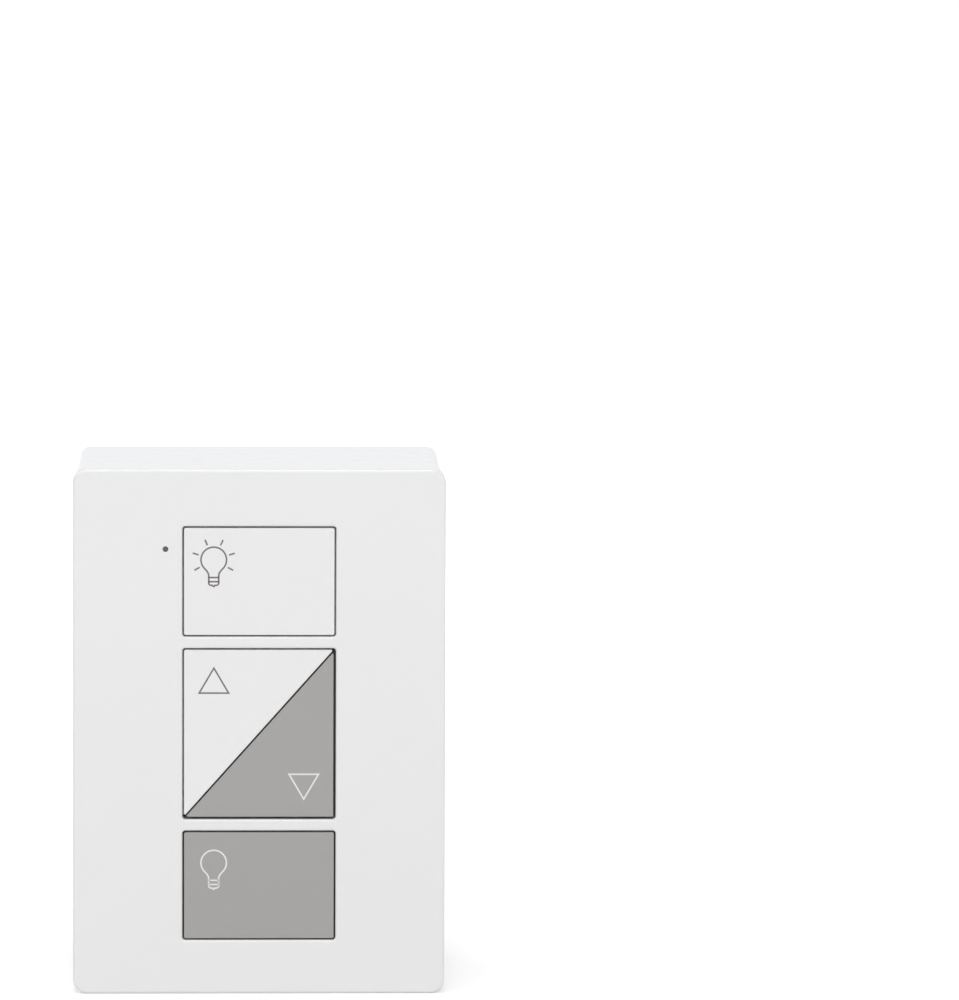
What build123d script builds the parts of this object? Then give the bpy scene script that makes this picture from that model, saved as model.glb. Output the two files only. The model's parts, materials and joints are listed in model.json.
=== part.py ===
from build123d import *
import math
import os

os.makedirs("parts", exist_ok=True)

# A plug-in lamp dimmer with two blades at its back and a socket in each side, in millimetres.
# X points right, Y to the back and Z up. The origin is on the rear face, midway between the plug blades.

# Case
CASE_WIDTH = 51.8
CASE_HEIGHT = 73.7
CASE_DEPTH = 32.0
BLADES_BELOW_TOP = 11.9
CORNER_RADIUS = 2.0
FRONT_EDGE_RADIUS = 0.5
REAR_EDGE_RADIUS = 0.8
PLATE_DEPTH = 4.8
SEAM_STEP = 0.3
SIDE_WALL = 1.8
REAR_WALL = 2.2
FACE_WALL = 2.2
LIP_WALL = 1.0
LIP_DEPTH = 2.0
LIP_CLEARANCE = 0.1
LABEL_WIDTH = 24.0
LABEL_HEIGHT = 15.0
LABEL_DEPTH = 0.3
LABEL_RADIUS = 1.0
LABEL_BELOW_BLADES = 27.0
CUT_OVERRUN = 1.0

# Case screws and the bosses that they join
CASE_BOSS_RADIUS = 3.2
PLATE_BOSS_RADIUS = 2.8
CASE_BOSS_INSET = 2.9
CASE_BOSS_JOINT_DEPTH = 20.0
CASE_SCREW_RADIUS = 1.3
CASE_SCREW_HEAD_RADIUS = 2.3
CASE_SCREW_HEAD_HEIGHT = 1.7
CASE_SCREW_RECESS_DEPTH = 2.6
CASE_SCREW_BITE = 5.5
SCREW_CLEARANCE = 0.1
THREAD_CLEARANCE = 0.03
HEAD_CLEARANCE = 0.2
DRIVE_WIDTH = 0.6
DRIVE_DEPTH = 0.7

# Button wells and caps
WELL_WIDTH = 21.3
END_WELL_HEIGHT = 15.4
MIDDLE_WELL_HEIGHT = 24.0
WELL_BAR = 1.64
WELLS_BELOW_MIDDLE = 0.2
WELL_CORNER_RADIUS = 0.4
WELL_EDGE_RADIUS = 0.35
CAP_GAP = 0.22
LOWER_CAP_GAP = 0.32
CAP_RECESS = 0.1
CAP_FACE = 1.3
CAP_WALL = 1.2
CAP_CORNER_RADIUS = 0.25
CAP_TIP_RADIUS = 0.14
CAP_EDGE_RADIUS = 0.12
CAP_RIB = 0.8
FLANGE_THICKNESS = 0.8
FLANGE_CLEARANCE = 0.15
FLANGE_SIDE = 0.9
FLANGE_END = 0.5
POST_RADIUS = 1.9
POST_CLEARANCE = 0.08
PRESS_TRAVEL = 0.6
TRAVEL_CLEARANCE = 0.3
POST_ALONG_SHARE = 1 / 6

# Guide frame, its bosses and the sleeves behind it
FRAME_THICKNESS = 1.0
FRAME_MARGIN = 2.9
FRAME_END_MARGIN = 4.0
FRAME_CORNER_RADIUS = 2.0
BOARD_BOSS_INSET = 5.85
BOARD_BOSS_RADIUS = 2.5
BOARD_BOSS_NECK_RADIUS = 1.5
BOARD_BOSS_PLACE_SHARES = (0.5, -0.5)
SLEEVE_RADIUS = 2.5
FIT_CLEARANCE = 0.1

# Status light
LIGHT_RADIUS = 0.37
LIGHT_CLEARANCE = 0.03
LIGHT_FROM_CENTRE = 13.0
LIGHT_BELOW_WELL_TOP = 3.15
LIGHT_COLLAR_RADIUS = 1.1
LIGHT_STEM_RADIUS = 0.9
LIGHT_TO_LED = 0.4
LED_SIZE = 1.6
LED_HEIGHT = 0.6

# Switches
SWITCH_SIZE = 6.0
SWITCH_HEIGHT = 2.0
SWITCH_COVER = 0.2
SWITCH_FLOOR = 0.5
SWITCH_CHAMBER_RADIUS = 2.45
PLUNGER_RADIUS = 1.5
PLUNGER_FOOT_RADIUS = 2.1
PLUNGER_FOOT = 0.3
PLUNGER_CLEARANCE = 0.08
DOME_RADIUS = 2.1
DOME_THICKNESS = 0.12
DOME_CLEARANCE = 0.05

# Control board and what it carries
CONTROL_BOARD_THICKNESS = 1.2
BOARD_MARGIN = 0.75
BOARD_CORNER_RADIUS = 1.0
NOTCH_CLEARANCE = 0.4
BOARD_SCREW_RADIUS = 0.8
BOARD_SCREW_HEAD_RADIUS = 1.9
BOARD_SCREW_HEAD_HEIGHT = 1.2
BOARD_SCREW_BITE = 3.0
RADIO_WIDTH = 12.0
RADIO_HEIGHT = 10.0
RADIO_THICKNESS = 2.0
RADIO_PLACE_SHARES = (-0.25, 0.5)
CHIP_SIZE = 7.0
CHIP_THICKNESS = 1.1
CHIP_PLACE_SHARES = (0.35, 0.35)
ANTENNA_WIDTH = 22.0
ANTENNA_STRIP = 0.5
ANTENNA_BAND = 1.0
ANTENNA_HEIGHT = 2.6
ANTENNA_FEED = 5.0
ANTENNA_INSET = 1.9

# Header between the two boards
HEADER_PINS = 6
HEADER_PITCH = 2.54
HEADER_THICKNESS = 2.5
HEADER_HEIGHT = 2.4
SOCKET_HEIGHT = 8.5
SOCKET_BORE_DEPTH = 6.0
PIN_SIZE = 0.64
PIN_TAIL = 0.5
PIN_CLEARANCE = 0.1
HEADER_ABOVE_BLADES = 4.6

# Power board and what it carries
BOARD_TO_BOARD = 13.8
POWER_BOARD_THICKNESS = 1.6
POWER_BOARD_ABOVE_OUTLETS = 1.9
STANDOFF_RADIUS = 2.2
STANDOFF_SIDE_INSET = 3.0
STANDOFF_FOOT_INSET = 3.0
STANDOFF_BELOW_BLADES = 1.0
FILM_CAPACITOR_SIZE = (13.0, 6.5, 10.5)
FILM_CAPACITOR_RADIUS = 0.6
SMOOTHING_CAPACITOR_RADIUS = 4.0
SMOOTHING_CAPACITOR_HEIGHT = 9.5
CHOKE_RADIUS = 6.0
CHOKE_CORE_RADIUS = 3.0
CHOKE_HEIGHT = 9.5
CHOKE_FLANGE = 1.4
CHOKE_WINDING_RADIUS = 5.4
FUSE_SIZE = (8.5, 4.0, 8.0)
VARISTOR_RADIUS = 4.5
VARISTOR_THICKNESS = 3.6
LEG_RADIUS = 0.35
LEG_LENGTH = 1.0
TRIAC_SIZE = (4.0, 10.0, 8.5)
TRIAC_LEG_PITCH = 2.54
HEAT_SINK_THICKNESS = 2.0
HEAT_SINK_LENGTH = 17.0
HEAT_SINK_HEIGHT = 10.0
BARRIER_THICKNESS = 0.4
BARRIER_SIZE_SHARES = (1.0, 1.1)
BARRIER_PLACE_SHARES = (-0.24, -0.15)
FILM_CAPACITOR_PLACE_SHARES = (-0.51, -0.53)
SMOOTHING_CAPACITOR_PLACE_SHARES = (0.06, 0.04)
CHOKE_PLACE_SHARES = (-0.57, 0.08)
FUSE_PLACE_SHARES = (0.06, -0.40)
VARISTOR_PLACE_SHARES = (0.52, 0.30)
TRIAC_PLACE_SHARES = (0.62, -0.26)

# The board that the components above were chosen for. On another one their footprints grow or shrink
# with its area, and their heights stay, as the room between the boards does.
CHOSEN_BOARD_WIDTH = 46.1
CHOSEN_BOARD_HEIGHT = 40.55

# Plug blades
BLADE_SPACING = 12.7
BLADE_THICKNESS = 1.5
NEUTRAL_BLADE_WIDTH = 7.94
LINE_BLADE_WIDTH = 6.35
BLADE_LENGTH = 16.8
BLADE_TIP_RADIUS = 1.4
BLADE_TIP_BEVEL = 0.4
BLADE_HOLE_RADIUS = 1.6
BLADE_HOLE_FROM_FACE = 11.9
BLADE_SHOULDER = 1.4
BLADE_SHOULDER_THICKNESS = 1.0
BLADE_TAIL_WIDTH = 3.0
BLADE_TAIL_RISE = 1.2
BLADE_CLEARANCE = 0.1
CARRIER_MARGIN = 3.0
CARRIER_RADIUS = 1.0

# Side sockets
OUTLET_ABOVE_BOTTOM = 18.8
SLOT_CLEARANCE = 0.25
SLOT_MOUTH_BEVEL = 0.45
OUTLET_WALL = 1.2
OUTLET_END_WALL = 1.4
OUTLET_FRONT_GAP = 1.2
OUTLET_REAR_GAP = 0.4
OUTLET_CHANNEL_HEIGHT = 4.6
OUTLET_OUTER_WALL = 0.95
OUTLET_COVER = 1.2
STRIP_THICKNESS = 0.8
LEAF_THICKNESS = 0.5
LEAF_BOW = 1.6
LEAF_FLARE = 1.7
LEAF_END_GAP = 1.2
LEAF_TIP = 4.0
LEAF_BOW_SHARE = 0.35
STRIP_FORK = 1.0
LEAF_CLEARANCE = 0.1
BLADE_END_GAP = 1.5
STRIP_CLEARANCE = 0.05
LEAD_RADIUS = 0.95
LEAD_BEND_RADIUS = 3.0
LEAD_PLACE_SHARE = 0.62
LEAD_ABOVE_BOARD_EDGE = 3.0
LEAD_GAP = 0.5
TAB_REACH_SHARE = 0.65
TAB_CLEARANCE = 0.5

# Heights worked out from the sizes above
case_top = BLADES_BELOW_TOP
case_bottom = case_top - CASE_HEIGHT
case_middle = (case_top + case_bottom) / 2
cavity_width = CASE_WIDTH - 2 * (SEAM_STEP + SIDE_WALL)
cavity_height = CASE_HEIGHT - 2 * (SEAM_STEP + SIDE_WALL)
cavity_side = cavity_width / 2
cavity_top = case_middle + cavity_height / 2
cavity_bottom = case_middle - cavity_height / 2
housing_side = CASE_WIDTH / 2 - SEAM_STEP

wells_middle = case_middle - WELLS_BELOW_MIDDLE
end_well_offset = (MIDDLE_WELL_HEIGHT + END_WELL_HEIGHT) / 2 + WELL_BAR
on_middle = wells_middle + end_well_offset
off_middle = wells_middle - end_well_offset

case_boss_x = cavity_side - CASE_BOSS_INSET
case_boss_top = cavity_top - CASE_BOSS_INSET
case_boss_bottom = cavity_bottom + CASE_BOSS_INSET
case_boss_places = [(x, z) for x in (-case_boss_x, case_boss_x) for z in (case_boss_top, case_boss_bottom)]

board_boss_x = cavity_side - BOARD_BOSS_INSET
board_boss_places = [
    (x, case_middle + share * CASE_HEIGHT / 2)
    for x in (-board_boss_x, board_boss_x)
    for share in BOARD_BOSS_PLACE_SHARES
]

# Depths worked out from the front face backwards
front_y = -CASE_DEPTH
seam_y = front_y + PLATE_DEPTH
face_back_y = front_y + FACE_WALL
lip_back_y = seam_y + LIP_DEPTH
cap_front_y = front_y + CAP_RECESS
cap_inside_y = cap_front_y + CAP_FACE
flange_front_y = face_back_y + FLANGE_CLEARANCE
flange_back_y = flange_front_y + FLANGE_THICKNESS
frame_front_y = flange_back_y + PRESS_TRAVEL + TRAVEL_CLEARANCE
frame_back_y = frame_front_y + FRAME_THICKNESS
post_end_y = frame_back_y
switch_front_y = post_end_y + PRESS_TRAVEL + TRAVEL_CLEARANCE
control_front_y = switch_front_y + SWITCH_HEIGHT
control_back_y = control_front_y + CONTROL_BOARD_THICKNESS
power_front_y = control_back_y + BOARD_TO_BOARD
power_back_y = power_front_y + POWER_BOARD_THICKNESS
rear_wall_y = -REAR_WALL
boss_joint_y = -CASE_BOSS_JOINT_DEPTH

# Side socket places
outlet_middle = case_bottom + OUTLET_ABOVE_BOTTOM
slot_y = seam_y / 2
slot_height = BLADE_THICKNESS + 2 * SLOT_CLEARANCE
neutral_slot_width = NEUTRAL_BLADE_WIDTH + 2 * SLOT_CLEARANCE
line_slot_width = LINE_BLADE_WIDTH + 2 * SLOT_CLEARANCE
neutral_slot_z = outlet_middle + BLADE_SPACING / 2
line_slot_z = outlet_middle - BLADE_SPACING / 2
outlet_front_y = slot_y - neutral_slot_width / 2 - OUTLET_FRONT_GAP
outlet_floor_y = slot_y + neutral_slot_width / 2 + OUTLET_REAR_GAP
outlet_half_height = BLADE_SPACING / 2 + OUTLET_CHANNEL_HEIGHT / 2 + OUTLET_OUTER_WALL
outlet_root_x = housing_side - BLADE_LENGTH - BLADE_END_GAP
outlet_inner_x = outlet_root_x - OUTLET_END_WALL

# Power board outline
power_side = cavity_side - BOARD_MARGIN
power_top = cavity_top - BOARD_MARGIN
power_bottom = outlet_middle + outlet_half_height + POWER_BOARD_ABOVE_OUTLETS
power_middle = (power_top + power_bottom) / 2
power_half_height = (power_top - power_bottom) / 2
chosen_area = CHOSEN_BOARD_WIDTH * CHOSEN_BOARD_HEIGHT
component_scale = math.sqrt(4 * power_side * power_half_height / chosen_area)
standoff_x = power_side - STANDOFF_SIDE_INSET
standoff_places = [
    (x, z)
    for x in (-standoff_x, standoff_x)
    for z in (power_bottom + STANDOFF_FOOT_INSET, -STANDOFF_BELOW_BLADES)
]
header_z = HEADER_ABOVE_BLADES
pin_places = [((i - (HEADER_PINS - 1) / 2) * HEADER_PITCH, header_z) for i in range(HEADER_PINS)]
header_length = HEADER_PINS * HEADER_PITCH


def prism(outline, back_y, front_y_):
    """Carry an outline drawn in X and Z along Y, from back_y forward to front_y_."""
    return extrude(Plane.XZ.offset(-back_y) * outline, back_y - front_y_)


def block(x, z, width, height, back_y, front_y_):
    """A plain block centred on x and z, between two depths."""
    return prism(Pos(x, z) * Rectangle(width, height), back_y, front_y_)


def rounded(x, z, width, height, radius, back_y, front_y_):
    """A block with rounded corners as seen from the front."""
    return prism(Pos(x, z) * RectangleRounded(width, height, radius), back_y, front_y_)


def rod(x, z, radius, back_y, front_y_):
    """A round rod along Y."""
    return prism(Pos(x, z) * Circle(radius), back_y, front_y_)


def rods(places, radius, back_y, front_y_):
    """The same rod at each place."""
    return [rod(x, z, radius, back_y, front_y_) for x, z in places]


def front_edges(solid):
    """The edges of the frontmost face."""
    return solid.faces().sort_by(Axis.Y)[0].edges()


def back_edges(solid):
    """The edges of the rearmost face."""
    return solid.faces().sort_by(Axis.Y)[-1].edges()


def board_place(shares):
    """A place on the power board, as shares of its half sizes."""
    return shares[0] * power_side, power_middle + shares[1] * power_half_height


def control_place(shares):
    """A place on the control board, as shares of its half sizes."""
    return shares[0] * cavity_side, case_middle + shares[1] * cavity_height / 2


# Button wells, as x, z, width and height
wells = [
    (0, on_middle, WELL_WIDTH, END_WELL_HEIGHT),
    (0, wells_middle, WELL_WIDTH, MIDDLE_WELL_HEIGHT),
    (0, off_middle, WELL_WIDTH, END_WELL_HEIGHT),
]
light_x = -LIGHT_FROM_CENTRE
light_z = on_middle + END_WELL_HEIGHT / 2 - LIGHT_BELOW_WELL_TOP


def make_front_plate():
    """The front plate: a shallow tray with three wells, a lip behind its rim and bosses inside."""
    plate = rounded(0, case_middle, CASE_WIDTH, CASE_HEIGHT, CORNER_RADIUS, seam_y, front_y)
    plate = fillet(front_edges(plate), FRONT_EDGE_RADIUS)
    lip_width = cavity_width - 2 * LIP_CLEARANCE
    lip_height = cavity_height - 2 * LIP_CLEARANCE
    lip_radius = CORNER_RADIUS / 2
    plate += rounded(0, case_middle, lip_width, lip_height, lip_radius, lip_back_y, seam_y)
    inner_width = lip_width - 2 * LIP_WALL
    inner_height = lip_height - 2 * LIP_WALL
    plate -= rounded(
        0, case_middle, inner_width, inner_height, lip_radius / 2, lip_back_y + CUT_OVERRUN, face_back_y
    )
    back = face_back_y + CUT_OVERRUN
    front = front_y - CUT_OVERRUN
    for x, z, width, height in wells:
        plate -= rounded(x, z, width, height, WELL_CORNER_RADIUS, back, front)
    rim = [
        edge
        for edge in plate.edges().filter_by_position(Axis.Y, front_y, front_y)
        if abs(edge.center().X) < WELL_WIDTH / 2 + WELL_EDGE_RADIUS
        and abs(edge.center().Z - wells_middle) < end_well_offset + END_WELL_HEIGHT / 2 + WELL_EDGE_RADIUS
    ]
    plate = fillet(rim, WELL_EDGE_RADIUS)
    for x, z in board_boss_places:
        plate += rod(x, z, BOARD_BOSS_RADIUS, frame_front_y, face_back_y)
        plate += rod(x, z, BOARD_BOSS_NECK_RADIUS, control_front_y, face_back_y)
    pilot = BOARD_SCREW_RADIUS + THREAD_CLEARANCE
    plate -= rods(board_boss_places, pilot, control_front_y + CUT_OVERRUN, control_front_y - BOARD_SCREW_BITE)
    plate += rods(case_boss_places, PLATE_BOSS_RADIUS, boss_joint_y, face_back_y)
    pilot = CASE_SCREW_RADIUS + THREAD_CLEARANCE
    plate -= rods(case_boss_places, pilot, boss_joint_y + CUT_OVERRUN, boss_joint_y - CASE_SCREW_BITE)
    return plate - rod(light_x, light_z, LIGHT_RADIUS + LIGHT_CLEARANCE, back, front)


def slot_cut(side, z, width):
    """A side slot through the housing wall, with a bevelled mouth, on the side given by its sign."""
    mouth = Plane(origin=(side * housing_side, slot_y, z), x_dir=(0, -side, 0), z_dir=(-side, 0, 0))
    cut = extrude(mouth * Rectangle(width, slot_height), SIDE_WALL + CUT_OVERRUN)
    wide = Rectangle(width + 2 * SLOT_MOUTH_BEVEL, slot_height + 2 * SLOT_MOUTH_BEVEL)
    narrow = Rectangle(width, slot_height)
    bevel = loft([mouth * wide, mouth.offset(SLOT_MOUTH_BEVEL) * narrow])
    return cut + bevel


def make_rear_housing():
    """The rear housing: a deep box, open in front, with blade slots, side slots, bosses and standoffs."""
    housing = rounded(
        0,
        case_middle,
        2 * housing_side,
        CASE_HEIGHT - 2 * SEAM_STEP,
        CORNER_RADIUS - SEAM_STEP,
        0,
        seam_y,
    )
    housing = fillet(back_edges(housing), REAR_EDGE_RADIUS)
    housing -= rounded(
        0,
        case_middle,
        cavity_width,
        cavity_height,
        CORNER_RADIUS / 2,
        rear_wall_y,
        seam_y - CUT_OVERRUN,
    )
    housing += rods(case_boss_places, CASE_BOSS_RADIUS, rear_wall_y, boss_joint_y)
    housing += rods(standoff_places, STANDOFF_RADIUS, rear_wall_y, power_back_y)
    housing -= rods(
        case_boss_places, CASE_SCREW_RADIUS + SCREW_CLEARANCE, CUT_OVERRUN, boss_joint_y - CUT_OVERRUN
    )
    housing -= rods(
        case_boss_places, CASE_SCREW_HEAD_RADIUS + HEAD_CLEARANCE, CUT_OVERRUN, -CASE_SCREW_RECESS_DEPTH
    )
    pilot = BOARD_SCREW_RADIUS + THREAD_CLEARANCE
    housing -= rods(standoff_places, pilot, rear_wall_y, power_back_y - CUT_OVERRUN)
    for side in (-1, 1):
        housing -= slot_cut(side, neutral_slot_z, neutral_slot_width)
        housing -= slot_cut(side, line_slot_z, line_slot_width)
    for x, width in blade_places:
        opening = (BLADE_THICKNESS + 2 * BLADE_CLEARANCE, width + 2 * BLADE_CLEARANCE)
        housing -= block(x, 0, *opening, CUT_OVERRUN, rear_wall_y - CUT_OVERRUN)
    label_z = -LABEL_BELOW_BLADES
    housing -= rounded(
        0, label_z, LABEL_WIDTH, LABEL_HEIGHT, LABEL_RADIUS, CUT_OVERRUN, -LABEL_DEPTH
    )
    return housing


# Plug blades, as x and width; the neutral one is wider
blade_places = [(-BLADE_SPACING / 2, NEUTRAL_BLADE_WIDTH), (BLADE_SPACING / 2, LINE_BLADE_WIDTH)]


def make_blade(x, width):
    """One plug blade: a rounded tip with a hole, a shoulder behind the wall and a tail to the board."""
    flat = Pos(x, 0) * Rectangle(BLADE_THICKNESS, width)
    tip_y = BLADE_LENGTH
    blade = prism(flat, tip_y, rear_wall_y - BLADE_SHOULDER_THICKNESS)
    corners = [edge for edge in blade.edges().filter_by(Axis.X) if edge.center().Y > tip_y / 2]
    blade = fillet(corners, BLADE_TIP_RADIUS)
    tip = [edge for edge in back_edges(blade) if abs(edge.center().X - x) > BLADE_THICKNESS / 4]
    blade = chamfer(tip, BLADE_TIP_BEVEL)
    blade += block(
        x,
        0,
        BLADE_THICKNESS,
        width + 2 * BLADE_SHOULDER,
        rear_wall_y,
        rear_wall_y - BLADE_SHOULDER_THICKNESS,
    )
    blade += block(
        x,
        0,
        BLADE_THICKNESS,
        BLADE_TAIL_WIDTH,
        rear_wall_y,
        power_front_y - BLADE_TAIL_RISE,
    )
    hole = Pos(x, BLADE_HOLE_FROM_FACE, 0) * Rot(0, 90, 0)
    return blade - hole * Cylinder(BLADE_HOLE_RADIUS, BLADE_THICKNESS + 2 * CUT_OVERRUN)


def make_blade_carrier():
    """The insulating block that clamps the blades' shoulders against the rear wall."""
    carrier_width = BLADE_SPACING + BLADE_THICKNESS + 2 * CARRIER_MARGIN
    carrier_height = NEUTRAL_BLADE_WIDTH + 2 * (BLADE_SHOULDER + CARRIER_MARGIN)
    carrier = rounded(0, 0, carrier_width, carrier_height, CARRIER_RADIUS, rear_wall_y, power_back_y)
    for x, width in blade_places:
        opening = BLADE_THICKNESS + 2 * BLADE_CLEARANCE
        pocket_front = rear_wall_y - BLADE_SHOULDER_THICKNESS - BLADE_CLEARANCE
        pocket_height = width + 2 * (BLADE_SHOULDER + BLADE_CLEARANCE)
        carrier -= block(x, 0, opening, pocket_height, rear_wall_y + CUT_OVERRUN, pocket_front)
        tail_height = BLADE_TAIL_WIDTH + 2 * BLADE_CLEARANCE
        carrier -= block(x, 0, opening, tail_height, rear_wall_y, power_back_y - CUT_OVERRUN)
    return carrier


def screw(x, z, radius, head_radius, head_height, seat_y, tip_y, drive_y):
    """A pan-head screw along Y with a cross in its head; its drive faces the side where drive_y lies."""
    outward = 1 if drive_y > seat_y else -1
    top_y = seat_y + outward * head_height
    shank = rod(x, z, radius, max(seat_y, tip_y), min(seat_y, tip_y))
    head = rod(x, z, head_radius, max(seat_y, top_y), min(seat_y, top_y))
    outer = head.faces().sort_by(Axis.Y)[-1 if outward > 0 else 0]
    head = fillet(outer.edges(), head_height / 3)
    floor_y = top_y - outward * DRIVE_DEPTH
    past_y = top_y + outward * CUT_OVERRUN
    for width, height in ((head_radius, DRIVE_WIDTH), (DRIVE_WIDTH, head_radius)):
        head -= block(x, z, width, height, max(floor_y, past_y), min(floor_y, past_y))
    return shank + head


def group(solids):
    """Separate solids that share one node."""
    return Compound(children=list(solids))


def make_case_screws():
    """Four long screws from the rear face into the front plate's bosses."""
    seat_y = -CASE_SCREW_RECESS_DEPTH
    tip_y = boss_joint_y - CASE_SCREW_BITE + THREAD_CLEARANCE
    return group(
        screw(
            x, z, CASE_SCREW_RADIUS, CASE_SCREW_HEAD_RADIUS, CASE_SCREW_HEAD_HEIGHT, seat_y, tip_y, 0
        )
        for x, z in case_boss_places
    )


def make_board_screws(places, seat_y, tip_y, drive_y):
    """Small screws that hold a board on its bosses."""
    return group(
        screw(
            x, z, BOARD_SCREW_RADIUS, BOARD_SCREW_HEAD_RADIUS, BOARD_SCREW_HEAD_HEIGHT, seat_y, tip_y, drive_y
        )
        for x, z in places
    )


# Button outlines
diagonal_turn = math.degrees(math.atan2(MIDDLE_WELL_HEIGHT, WELL_WIDTH))


def beside_diagonal(side):
    """All that lies on one side of the middle well's diagonal, half a gap away from it."""
    reach = WELL_WIDTH + MIDDLE_WELL_HEIGHT
    half = Pos(0, side * (reach + CAP_GAP) / 2) * Rectangle(2 * reach, reach)
    return Pos(0, wells_middle) * Rot(0, 0, diagonal_turn) * half


def well_outline(z, height, grow_x, grow_z):
    """A well's rectangle, grown or shrunk on each side."""
    return Pos(0, z) * Rectangle(WELL_WIDTH + 2 * grow_x, height + 2 * grow_z)


def soften_corners(cap, z, side):
    """Round a cap's corners, and by less the two sharp tips of a triangle, at the diagonal's ends."""
    def is_tip(corner):
        return side != 0 and corner.X * (corner.Y - z) > 0

    cap = fillet([corner for corner in cap.vertices() if not is_tip(corner)], CAP_CORNER_RADIUS)
    tips = [corner for corner in cap.vertices() if is_tip(corner)]
    return fillet(tips, CAP_TIP_RADIUS) if tips else cap


def make_button(z, height, side, gap, post_place):
    """A hollow button: a cap with softened edges, a flange behind the plate, ribs and a post."""
    cap = well_outline(z, height, -gap, -gap)
    flange = well_outline(z, height, FLANGE_SIDE, FLANGE_END)
    if side:
        cap = cap & beside_diagonal(side)
        flange = flange & beside_diagonal(side)
    inside = offset(cap, -CAP_WALL)
    cap = soften_corners(cap, z, side)
    button = fillet(front_edges(prism(cap, flange_back_y, cap_front_y)), CAP_EDGE_RADIUS)
    button += prism(flange, flange_back_y, flange_front_y)
    hollow = prism(inside, flange_back_y, cap_inside_y)
    x, post_z = post_place
    ribs = block(x, post_z, 2 * WELL_WIDTH, CAP_RIB, flange_back_y, cap_inside_y)
    ribs += block(x, post_z, CAP_RIB, 2 * MIDDLE_WELL_HEIGHT, flange_back_y, cap_inside_y)
    button -= hollow - ribs
    return button + rod(x, post_z, POST_RADIUS, post_end_y, cap_inside_y)


# A triangle's post stands off the well's middle by a share of the well's size
post_x = WELL_WIDTH * POST_ALONG_SHARE
post_rise = MIDDLE_WELL_HEIGHT * POST_ALONG_SHARE
buttons = {
    "on": (on_middle, END_WELL_HEIGHT, 0, CAP_GAP, (0, on_middle)),
    "raise": (wells_middle, MIDDLE_WELL_HEIGHT, 1, CAP_GAP, (-post_x, wells_middle + post_rise)),
    "lower": (wells_middle, MIDDLE_WELL_HEIGHT, -1, LOWER_CAP_GAP, (post_x, wells_middle - post_rise)),
    "off": (off_middle, END_WELL_HEIGHT, 0, CAP_GAP, (0, off_middle)),
}
post_places = [place for z, height, side, gap, place in buttons.values()]


def make_guide_frame():
    """The flat frame whose holes guide the buttons' posts."""
    frame_width = 2 * (board_boss_x + FRAME_MARGIN)
    frame_height = 2 * (end_well_offset + POST_RADIUS + FRAME_END_MARGIN)
    outline = Pos(0, wells_middle) * RectangleRounded(frame_width, frame_height, FRAME_CORNER_RADIUS)
    outline = notched(outline, PLATE_BOSS_RADIUS + NOTCH_CLEARANCE, case_boss_places)
    frame = prism(outline, frame_back_y, frame_front_y)
    back = frame_back_y + CUT_OVERRUN
    front = frame_front_y - CUT_OVERRUN
    frame -= rods(post_places, POST_RADIUS + POST_CLEARANCE, back, front)
    frame -= rods(board_boss_places, BOARD_BOSS_NECK_RADIUS + FIT_CLEARANCE, back, front)
    return frame - rod(light_x, light_z, LIGHT_STEM_RADIUS + FIT_CLEARANCE, back, front)


def make_sleeves():
    """The sleeves that hold the guide frame against its bosses, in front of the control board."""
    sleeves = []
    for x, z in board_boss_places:
        sleeve = rod(x, z, SLEEVE_RADIUS, control_front_y, frame_back_y)
        bore_radius = BOARD_BOSS_NECK_RADIUS + FIT_CLEARANCE
        back = control_front_y + CUT_OVERRUN
        sleeves.append(sleeve - rod(x, z, bore_radius, back, frame_back_y - CUT_OVERRUN))
    return group(sleeves)


def make_light_pipe():
    """The status light's pipe, with a collar between the plate and the guide frame."""
    led_front_y = control_front_y - LED_HEIGHT
    pipe = rod(light_x, light_z, LIGHT_RADIUS, face_back_y, front_y)
    pipe += rod(light_x, light_z, LIGHT_COLLAR_RADIUS, frame_front_y, face_back_y)
    return pipe + rod(light_x, light_z, LIGHT_STEM_RADIUS, led_front_y - LIGHT_TO_LED, face_back_y)


def make_switch(place):
    """One switch: its body, steel cover, plunger and snap dome."""
    x, z = place
    cover_back_y = switch_front_y + SWITCH_COVER
    floor_y = control_front_y - SWITCH_FLOOR
    body = block(x, z, SWITCH_SIZE, SWITCH_SIZE, control_front_y, cover_back_y)
    body -= rod(x, z, SWITCH_CHAMBER_RADIUS, floor_y, cover_back_y - CUT_OVERRUN)
    cover = block(x, z, SWITCH_SIZE, SWITCH_SIZE, cover_back_y, switch_front_y)
    cover -= rod(
        x, z, PLUNGER_RADIUS + PLUNGER_CLEARANCE, cover_back_y + CUT_OVERRUN, switch_front_y - CUT_OVERRUN
    )
    foot_front_y = cover_back_y + PLUNGER_CLEARANCE
    foot_back_y = foot_front_y + PLUNGER_FOOT
    plunger = rod(x, z, PLUNGER_RADIUS, foot_back_y, post_end_y)
    plunger += rod(x, z, PLUNGER_FOOT_RADIUS, foot_back_y, foot_front_y)
    rise = floor_y - foot_back_y - DOME_CLEARANCE
    outer_radius = (DOME_RADIUS**2 + rise**2) / (2 * rise)
    bend_middle = floor_y - rise + outer_radius
    shell = Sphere(outer_radius) - Sphere(outer_radius - DOME_THICKNESS)
    dome = (Pos(x, bend_middle, z) * shell) & block(
        x, z, SWITCH_SIZE, SWITCH_SIZE, floor_y, floor_y - SWITCH_HEIGHT
    )
    return body, cover, plunger, dome


def notched(outline, notch_radius, places):
    """A board outline with round notches for bosses that stand in its corners."""
    for x, z in places:
        outline -= Pos(x, z) * Circle(notch_radius)
    return outline


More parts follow.
